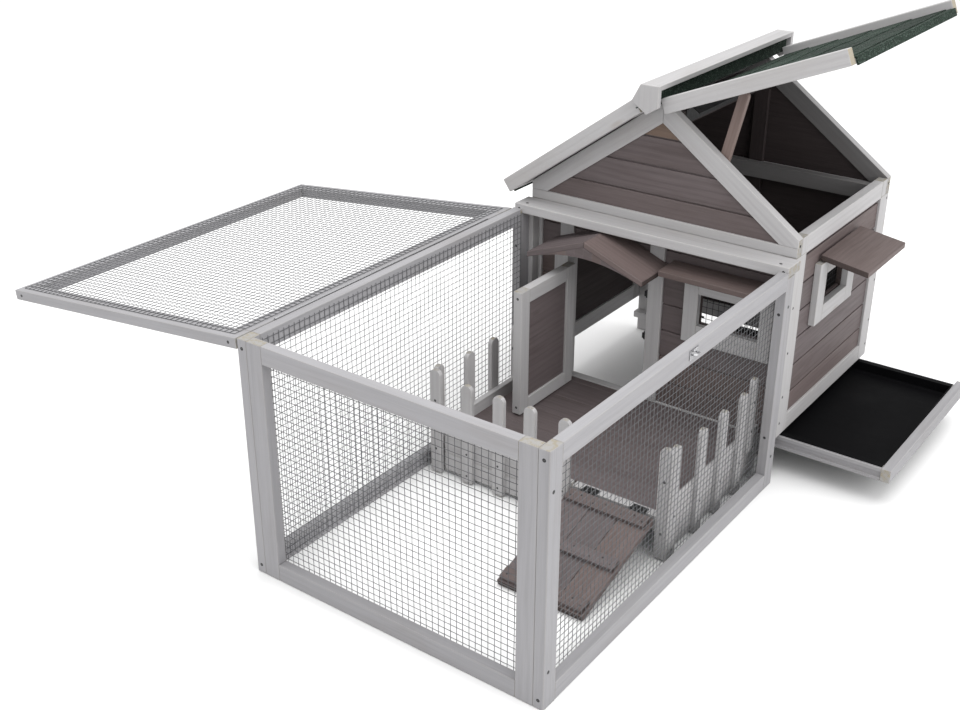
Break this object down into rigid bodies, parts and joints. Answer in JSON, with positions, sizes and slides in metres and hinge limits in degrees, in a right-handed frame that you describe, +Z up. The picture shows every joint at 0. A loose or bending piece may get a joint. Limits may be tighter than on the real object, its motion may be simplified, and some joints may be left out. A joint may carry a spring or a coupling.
{
  "type": "chicken coop",
  "caption": "Wooden chicken coop: raised house with a propped-open gabled roof, wire run with a hinged lid, picket porch, ramp and pull-out tray.",
  "frame": {"origin": "middle of the underside of the run's front bottom rail, on the ground", "axes": "+X to the coop's right-hand side, where the tray pulls out; +Y from the run's front to the back of the house; +Z up"},
  "size_m": [1.4738, 1.407, 0.8914],
  "materials": {
    "whitewash": "satin whitewash",
    "stain": "matte grey-brown stain",
    "wire": "satin, galvanised welded wire",
    "black_wire": "matte, black coated welded wire",
    "black_steel": "black",
    "bright_steel": "bright zinc",
    "felt": "granulated green roofing felt",
    "tray_black": "matte, black sheet"
  },
  "bodies": {
    "coop": {"run_front_frame": "whitewash", "run_front_mesh": "wire", "run_right_frame": "whitewash", "run_right_mesh": "wire", "run_left_frame": "whitewash", "run_left_mesh": "wire", "lid_hinge_fixed": "bright_steel", "lid_catch": "bright_steel", "post_right": "whitewash", "post_left": "whitewash", "ledge": "whitewash", "front_wall_frame": "whitewash", "front_wall_boards": "stain", "front_window_frame": "whitewash", "side_window_frame": "whitewash", "front_window_mesh": "black_wire", "side_window_mesh": "black_wire", "side_window_canopy": "stain", "front_window_canopy": "stain", "door_canopy": "stain", "front_gable_frame": "whitewash", "front_gable_boards": "stain", "back_wall_frame": "whitewash", "back_wall_boards": "stain", "back_wall_battens": "stain", "right_wall_frame": "whitewash", "right_wall_boards": "stain", "left_wall_frame": "whitewash", "left_wall_boards": "stain", "left_roof_panel": "whitewash", "left_roof_shingles": "felt", "ridge_beam": "stain", "roof_hinge_fixed": "black_steel", "ridge_cap": "whitewash", "door_hinge_lower_fixed": "black_steel", "door_hinge_upper_fixed": "black_steel", "porch_floor": "stain", "porch_frame": "whitewash", "fence_right": "whitewash", "fence_left": "whitewash", "fence_front": "whitewash", "ramp_hinge_left_fixed": "black_steel", "ramp_hinge_right_fixed": "black_steel"},
    "lid": {"lid_frame": "whitewash", "lid_mesh": "wire", "lid_hinge_moving": "bright_steel"},
    "roof_panel": {"right_roof_frame": "whitewash", "right_roof_deck": "stain", "right_roof_shingles": "felt", "roof_hinge_moving": "black_steel"},
    "stay": {"prop_stay": "stain"},
    "door": {"door_frame": "whitewash", "door_panel": "stain", "door_hinge_lower_moving": "black_steel", "door_hinge_upper_moving": "black_steel"},
    "tray": {"tray_frame": "whitewash", "tray_pan": "tray_black"},
    "ramp": {"ramp": "stain", "ramp_hinge_left_moving": "black_steel", "ramp_hinge_right_moving": "black_steel"}
  },
  "joints": [
    {"name": "lid_hinge", "type": "hinge", "parent": "coop", "child": "lid", "pos_m": [-0.3151, 0.3915, 0.47015], "axis": [0, 1, 0], "range_deg": [0, 186.5]},
    {"name": "roof_hinge", "type": "hinge", "parent": "coop", "child": "roof_panel", "pos_m": [0.02213, 1.091, 0.71673], "axis": [0, 1, 0], "range_deg": [0, 58]},
    {"name": "stay_pivot", "type": "hinge", "parent": "coop", "child": "stay", "pos_m": [0.124, 0.8743, 0.632], "axis": [0, 1, 0], "range_deg": [0, 113.4]},
    {"name": "door_hinge", "type": "hinge", "parent": "coop", "child": "door", "pos_m": [-0.1935, 0.8245, 0.227], "axis": [0, 0, 1], "range_deg": [0, 90]},
    {"name": "tray_slide", "type": "slide", "parent": "coop", "child": "tray", "axis": [-1, 0, 0], "range_m": [0, 0.212]},
    {"name": "ramp_hinge", "type": "hinge", "parent": "coop", "child": "ramp", "pos_m": [0.153, 0.4565, 0.087], "axis": [-1, 0, 0], "range_deg": [0, 106]}
  ],
  "couplings": [
    {"joint": "stay_pivot", "follows": "roof_hinge", "ratio": 1.9552}
  ]
}
